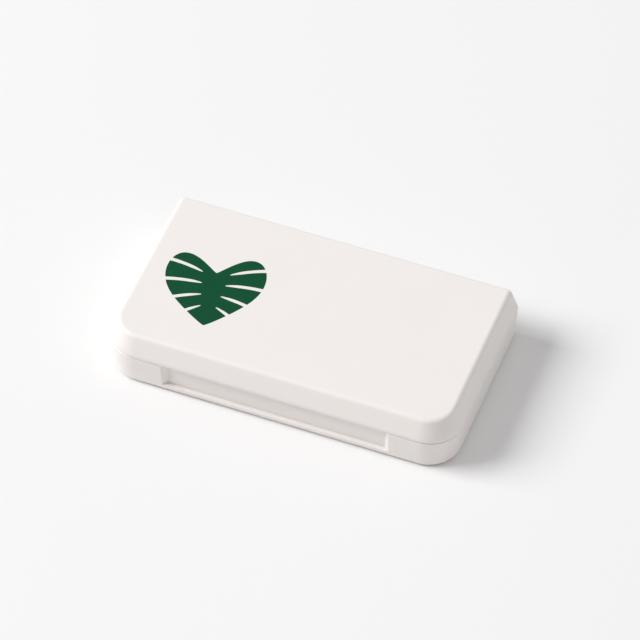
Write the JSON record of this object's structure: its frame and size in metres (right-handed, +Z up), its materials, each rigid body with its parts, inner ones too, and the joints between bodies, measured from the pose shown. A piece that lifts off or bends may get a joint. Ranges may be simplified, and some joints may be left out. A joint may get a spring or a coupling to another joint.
{
  "type": "pill splitter",
  "caption": "Flat pocket pill splitter: a white hinged case with a leaf print on its lid, a blade and V-shaped cradle at one end and a tablet tray at the other.",
  "frame": {"origin": "on the ground under the middle of the whole object, hinge barrels included", "axes": "+X along the case's length, to the tray end; +Y to the hinge at the back; +Z up"},
  "size_m": [0.105, 0.0594, 0.0177],
  "materials": {
    "case_plastic": "satin, fine moulded texture",
    "tray_plastic": "satin, slightly translucent polypropylene",
    "cradle_plastic": "satin",
    "holder_plastic": "satin",
    "grip_rubber": "matte soft-touch elastomer",
    "silicone": "translucent silicone",
    "blade_steel": "ground, brushed along its length",
    "fastener_steel": "turned",
    "leaf_ink": "printed ink, satin"
  },
  "bodies": {
    "base": {"base_shell": "case_plastic", "seal_band": "silicone", "storage_tray": "tray_plastic", "pill_cradle": "cradle_plastic", "cradle_grip_left": "grip_rubber", "cradle_grip_right": "grip_rubber", "hinge_pin_left": "fastener_steel", "hinge_pin_right": "fastener_steel", "foot_front_left": "silicone", "foot_front_right": "silicone", "foot_back_left": "silicone", "foot_back_right": "silicone"},
    "lid": {"lid_shell": "case_plastic", "lid_pad": "silicone", "blade_holder": "holder_plastic", "blade_clamp": "holder_plastic", "blade": "blade_steel", "blade_rivet_front": "fastener_steel", "blade_rivet_rear": "fastener_steel", "holder_screws": "fastener_steel"}
  },
  "joints": [
    {"name": "lid_hinge", "type": "hinge", "parent": "base", "child": "lid", "pos_m": [0, 0.028, 0.0104], "axis": [-1, 0, 0], "range_deg": [0, 180]}
  ]
}
